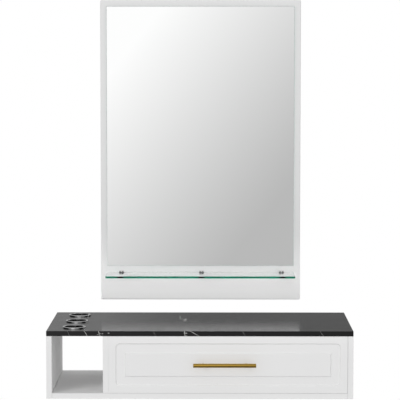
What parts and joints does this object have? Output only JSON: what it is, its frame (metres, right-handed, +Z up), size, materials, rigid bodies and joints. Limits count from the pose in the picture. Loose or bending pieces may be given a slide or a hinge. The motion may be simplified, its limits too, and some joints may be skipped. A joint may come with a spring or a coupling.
{
  "type": "wall-mounted styling station",
  "caption": "Wall-hung salon styling station: a mirror panel with a clipped glass shelf, over a marble-topped cabinet with tool rings, an open cubby and a drawer on telescopic slides.",
  "frame": {"origin": "on the wall plane, at the middle of the cabinet's width and half its height, on the back panel's wall face", "axes": "+X to the viewer's right, +Y into the wall, +Z up; the drawer opens along -Y"},
  "size_m": [0.9, 0.428, 1.174],
  "materials": {
    "white_board": "satin white film on fibreboard",
    "black_marble": "glossy black marble-look laminate with fine white veins",
    "mirror": "silvered glass with polished edges",
    "clear_glass": "clear float glass, green at its edges",
    "chrome": "polished chrome plate",
    "brass": "brushed gold",
    "zinc_steel": "zinc-plated sheet steel",
    "aluminium": "mill-finish extrusion",
    "black_rubber": "matt black rubber"
  },
  "bodies": {
    "station": {"back_panel": "white_board", "bottom_panel": "white_board", "countertop": "black_marble", "divider_panel": "white_board", "left_side_panel": "white_board", "right_side_panel": "white_board", "tool_ring_back": "chrome", "tool_ring_middle": "chrome", "tool_ring_front": "chrome", "slide_left_cabinet_member": "zinc_steel", "slide_right_cabinet_member": "zinc_steel", "mirror_panel": "white_board", "mirror_glass": "mirror", "mirror_wall_rail": "aluminium", "mirror_hook_rail": "aluminium", "mirror_bumper_left": "black_rubber", "mirror_bumper_right": "black_rubber", "glass_shelf": "clear_glass", "shelf_clip_left": "chrome", "shelf_clip_centre": "chrome", "shelf_clip_right": "chrome", "shelf_clip_pad_left": "black_rubber", "shelf_clip_pad_centre": "black_rubber", "shelf_clip_pad_right": "black_rubber", "shelf_clip_screw_left": "chrome", "shelf_clip_screw_centre": "chrome", "shelf_clip_screw_right": "chrome"},
    "drawer": {"drawer_front": "white_board", "drawer_inner_front": "white_board", "drawer_left_side": "white_board", "drawer_right_side": "white_board", "drawer_back": "white_board", "drawer_bottom": "white_board", "handle_bar": "brass", "handle_post_left": "brass", "handle_post_right": "brass", "handle_screw_left": "zinc_steel", "handle_screw_right": "zinc_steel", "slide_left_drawer_member": "zinc_steel", "slide_right_drawer_member": "zinc_steel"},
    "left_middle_member": {"slide_left_middle_member": "zinc_steel"},
    "left_outer_cage": {"slide_left_outer_cage": "zinc_steel"},
    "left_inner_cage": {"slide_left_inner_cage": "zinc_steel"},
    "right_middle_member": {"slide_right_middle_member": "zinc_steel"},
    "right_outer_cage": {"slide_right_outer_cage": "zinc_steel"},
    "right_inner_cage": {"slide_right_inner_cage": "zinc_steel"}
  },
  "joints": [
    {"name": "drawer_slide", "type": "slide", "parent": "station", "child": "drawer", "axis": [0, -1, 0], "range_m": [0, 0.35]},
    {"name": "left_middle_slide", "type": "slide", "parent": "station", "child": "left_middle_member", "axis": [0, -1, 0], "range_m": [0, 0.175]},
    {"name": "left_outer_cage_slide", "type": "slide", "parent": "station", "child": "left_outer_cage", "axis": [0, -1, 0], "range_m": [0, 0.0875]},
    {"name": "left_inner_cage_slide", "type": "slide", "parent": "station", "child": "left_inner_cage", "axis": [0, -1, 0], "range_m": [0, 0.2625]},
    {"name": "right_middle_slide", "type": "slide", "parent": "station", "child": "right_middle_member", "axis": [0, -1, 0], "range_m": [0, 0.175]},
    {"name": "right_outer_cage_slide", "type": "slide", "parent": "station", "child": "right_outer_cage", "axis": [0, -1, 0], "range_m": [0, 0.0875]},
    {"name": "right_inner_cage_slide", "type": "slide", "parent": "station", "child": "right_inner_cage", "axis": [0, -1, 0], "range_m": [0, 0.2625]}
  ],
  "couplings": [
    {"joint": "left_middle_slide", "follows": "drawer_slide", "ratio": 0.5},
    {"joint": "left_outer_cage_slide", "follows": "drawer_slide", "ratio": 0.25},
    {"joint": "left_inner_cage_slide", "follows": "drawer_slide", "ratio": 0.75},
    {"joint": "right_middle_slide", "follows": "drawer_slide", "ratio": 0.5},
    {"joint": "right_outer_cage_slide", "follows": "drawer_slide", "ratio": 0.25},
    {"joint": "right_inner_cage_slide", "follows": "drawer_slide", "ratio": 0.75}
  ]
}
